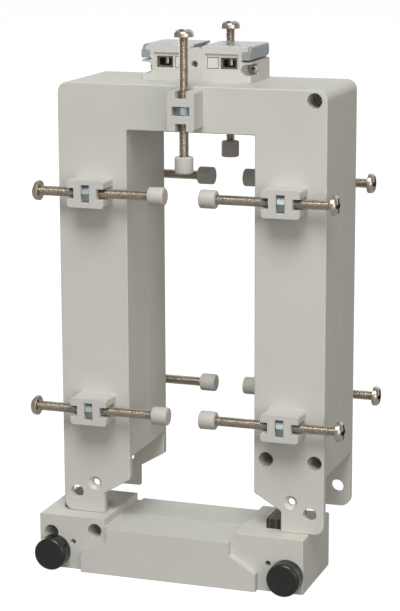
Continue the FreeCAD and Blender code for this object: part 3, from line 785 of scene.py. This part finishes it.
def addKnobs():
    # Built along X with its back at the origin and its face towards -X
    flange, bevel, ring = knobShape["flange"], knobShape["flangeBevel"], knobShape["flangeRing"]
    model = addRound(knobShape["radius"], -flange, -bevel, sides=64)
    insetEnd(model, 1, [(bevel, bevel)])
    startEdit(model)
    pickEnd(model, 0, -1)
    step = knobShape["radius"] - knobShape["waistRadius"]
    bpy.ops.mesh.inset(thickness=ring * mm, depth=0)
    bpy.ops.mesh.inset(thickness=(step - ring) * mm, depth=0)
    bpy.ops.mesh.extrude_region_move(TRANSFORM_OT_translate={"value": (-knobShape["waist"] * mm, 0, 0)})
    bpy.ops.mesh.extrude_region_move(TRANSFORM_OT_translate={"value": (0, 0, 0)})     # a step, widened next
    wider = knobShape["radius"] / knobShape["waistRadius"]
    edge = -(flange + knobShape["waist"]) * mm
    bpy.ops.transform.resize(value=(1, wider, wider), center_override=(edge, 0, 0))
    rim = sum(depth for _, depth in knobShape["rimSteps"])
    bpy.ops.mesh.extrude_region_move(
        TRANSFORM_OT_translate={"value": ((rim - knobShape["body"]) * mm, 0, 0)})
    for thickness, depth in knobShape["rimSteps"]:
        bpy.ops.mesh.inset(thickness=thickness * mm, depth=depth * mm)
    bpy.ops.mesh.inset(thickness=knobShape["dishInset"] * mm, depth=0)
    bpy.ops.mesh.inset(thickness=knobShape["dishSlope"] * mm, depth=-knobShape["dishDepth"] * mm)
    endEdit()
    cutWith(model, addRound(knobShape["boreRadius"], -knobShape["boreDepth"], overcut))
    tidyMesh(model, knobShape["smoothAngle"])
    thread = addThread(studShape, 0, studShape["length"])
    insetEnd(thread, 1, [(studShape["tipInset"], 0)])
    tidyMesh(thread)
    for side in ("left", "right"):
        low, high = cornersOf(f"{side}_knob")
        middle = (low + high) / 2
        knob = copyPiece(model, f"{side}_turnedKnob", (middle.x, high.y, middle.z), (0, 0, math.pi / 2))
        placePiece(knob, "knob", f"{side}_thumbscrew", f"{side}_knob")
        front = cornersOf(f"{side}_stud")[0].y
        stud = copyPiece(thread, f"{side}_threadedStud", (middle.x, front, middle.z), (0, 0, math.pi / 2))
        placePiece(stud, "fastener", f"{side}_thumbscrew", f"{side}_stud")
    removePiece(model)
    removePiece(thread)


addKnobs()
print("thumbscrews placed")


# Floor and light

studio = {
    "target": (0.0, 0.0, 0.16),
    "lamps": {
        "keyLamp": {"place": (0.38, -1.86, 2.68), "size": 1.5, "power": 78, "color": (1, 1, 1)},
        "sideLamp": {"place": (1.9, -1.6, 0.6), "size": 1.4, "power": 17, "color": (1, 0.88, 0.87)},
        "frontLamp": {"place": (0.9, -2.6, 0.45), "size": 1.4, "power": 6, "color": (1, 1, 1)},
        "backLamp": {"place": (-2.4, 2.0, 0.8), "size": 1.6, "power": 42, "color": (1, 1, 1)},
    },
    "skyLight": 0.25,       # what the sky adds as plain light
    "seenSky": 0.75,        # more of it where the camera looks
    "mirroredSky": 0.1,     # and where a reflection looks
    "planes": {
        "floor": {
            "size": 30.0, "place": (0, 0, 0), "tilt": 0, "color": 0.2, "seen": 0.95, "mirrored": 0.3,
        },
        "backdrop": {
            "size": 12.0, "place": (0, 5, 4), "tilt": 90, "color": 0.2, "seen": 1.0, "mirrored": 0.9,
        },
    },
}


def addLamp(name, place, size, power, color):
    lamp = bpy.data.objects.new(name, bpy.data.lights.new(name, "AREA"))
    bpy.context.scene.collection.objects.link(lamp)
    lamp.data.size = size
    lamp.data.energy = power
    lamp.data.color = color
    lamp.location = place
    lamp.rotation_euler = (Vector(studio["target"]) - Vector(place)).to_track_quat("-Z", "Y").to_euler()


def glowByPath(tree, plain, seen, mirrored):
    # A plain strength, raised where the camera looks, directly or through a clear lid,
    # and where a reflection looks
    path = addNode(tree, "ShaderNodeLightPath")
    straight = addNode(tree, "ShaderNodeMath", operation="MAXIMUM")
    join(tree, path.outputs["Is Camera Ray"], straight.inputs[0])
    join(tree, path.outputs["Is Transmission Ray"], straight.inputs[1])
    first = addNode(tree, "ShaderNodeMath", operation="MULTIPLY_ADD")
    join(tree, straight.outputs["Value"], first.inputs[0])
    first.inputs[1].default_value = seen
    first.inputs[2].default_value = plain
    second = addNode(tree, "ShaderNodeMath", operation="MULTIPLY_ADD")
    join(tree, path.outputs["Is Glossy Ray"], second.inputs[0])
    second.inputs[1].default_value = mirrored
    join(tree, first.outputs["Value"], second.inputs[2])
    return second.outputs["Value"]


def addPlane(name, plane):
    bpy.ops.mesh.primitive_plane_add(size=plane["size"], location=plane["place"],
                                     rotation=(math.radians(plane["tilt"]), 0, 0))
    piece = bpy.context.object
    piece.name = name
    material, tree, shader = newMaterial(name + "White")
    shade = plane["color"]
    shader.inputs["Base Color"].default_value = (shade, shade, shade, 1)
    shader.inputs["Roughness"].default_value = 0.9
    shader.inputs["Specular IOR Level"].default_value = 0.0
    shader.inputs["Emission Color"].default_value = (1, 1, 1, 1)
    join(tree, glowByPath(tree, 0, plane["seen"], plane["mirrored"]), shader.inputs["Emission Strength"])
    piece.data.materials.append(material)


def addStudio():
    world = bpy.data.worlds.new("studioWorld")
    bpy.context.scene.world = world
    world.use_nodes = True
    tree = world.node_tree
    background = tree.nodes["Background"]
    background.inputs["Color"].default_value = (1, 1, 1, 1)
    strength = glowByPath(tree, studio["skyLight"], studio["seenSky"], studio["mirroredSky"])
    join(tree, strength, background.inputs["Strength"])

    for name, plane in studio["planes"].items():
        addPlane(name, plane)
    for name, lamp in studio["lamps"].items():
        addLamp(name, **lamp)
    bpy.context.scene.view_settings.view_transform = "Standard"


addStudio()
print("studio placed")
